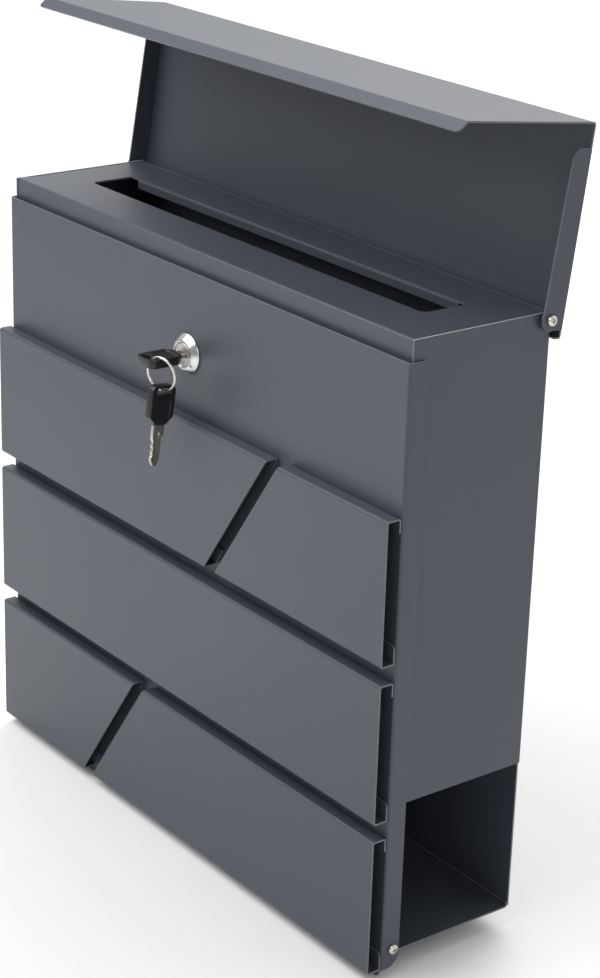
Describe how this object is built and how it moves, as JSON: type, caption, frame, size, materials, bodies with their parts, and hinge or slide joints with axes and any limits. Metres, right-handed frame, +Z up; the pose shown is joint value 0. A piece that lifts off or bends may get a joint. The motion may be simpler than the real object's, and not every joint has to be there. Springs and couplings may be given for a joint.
{
  "type": "wall mounted mailbox",
  "caption": "Wall mounted sheet steel mailbox with a hinged lid over its mail slot, a bottom-hinged slatted door with a cam lock and keys, and an open newspaper tray below.",
  "frame": {"origin": "centre of the wall side of the back sheet, at half the body's height", "axes": "+X to the right as seen from the front, +Y back towards the wall, +Z up"},
  "size_m": [0.3774, 0.1427, 0.4557],
  "materials": {
    "coat": "satin anthracite powder coat",
    "screw_nickel": "bright nickel plate",
    "zinc": "clear zinc plate",
    "washer_nylon": "matt nylon",
    "lock_chrome": "polished chrome plate",
    "key_steel": "nickel plated steel",
    "key_plastic": "semi-gloss moulded plastic"
  },
  "bodies": {
    "body": {"body_shell": "coat", "slot_plate": "coat", "compartment_floor": "coat", "lid_hinge_screw_left": "screw_nickel", "lid_hinge_screw_right": "screw_nickel", "door_hinge_screw_left": "screw_nickel", "door_hinge_screw_right": "screw_nickel", "lid_hinge_nut_left": "zinc", "lid_hinge_nut_right": "zinc", "door_hinge_nut_left": "zinc", "door_hinge_nut_right": "zinc", "lid_hinge_washer_left": "washer_nylon", "lid_hinge_washer_right": "washer_nylon"},
    "lid": {"lid": "coat"},
    "door": {"door_panel": "coat", "slat_top_left": "coat", "slat_top_right": "coat", "slat_middle": "coat", "slat_bottom_left": "coat", "slat_bottom_right": "coat", "lock_housing": "lock_chrome", "lock_nut": "zinc"},
    "lock_cylinder": {"lock_plug": "lock_chrome", "lock_cam": "zinc", "cam_screw": "zinc", "lock_key_head": "key_plastic", "lock_key_blade": "key_steel"},
    "key_ring": {"key_ring": "key_steel"},
    "spare_key": {"spare_key_head": "key_plastic", "spare_key_blade": "key_steel"}
  },
  "joints": [
    {"name": "lid_hinge", "type": "hinge", "parent": "body", "child": "lid", "pos_m": [0, -0.0032, 0.1664], "axis": [1, 0, 0], "range_deg": [0, 76]},
    {"name": "door_hinge", "type": "hinge", "parent": "body", "child": "door", "pos_m": [0, -0.0852, -0.1662], "axis": [1, 0, 0], "range_deg": [0, 85]},
    {"name": "lock_turn", "type": "hinge", "parent": "door", "child": "lock_cylinder", "pos_m": [0, -0.092, 0.1129], "axis": [0, 1, 0], "range_deg": [0, 90]},
    {"name": "ring_swing", "type": "hinge", "parent": "lock_cylinder", "child": "key_ring", "pos_m": [0.0065, -0.116, 0.1129], "axis": [-0.2913, 0.9527, 0.0872], "range_deg": [-20, 20]},
    {"name": "spare_key_swing", "type": "hinge", "parent": "key_ring", "child": "spare_key", "pos_m": [0.00806, -0.11422, 0.09843], "axis": [0.9962, 0.0872, 0], "range_deg": [-25, 16]}
  ]
}
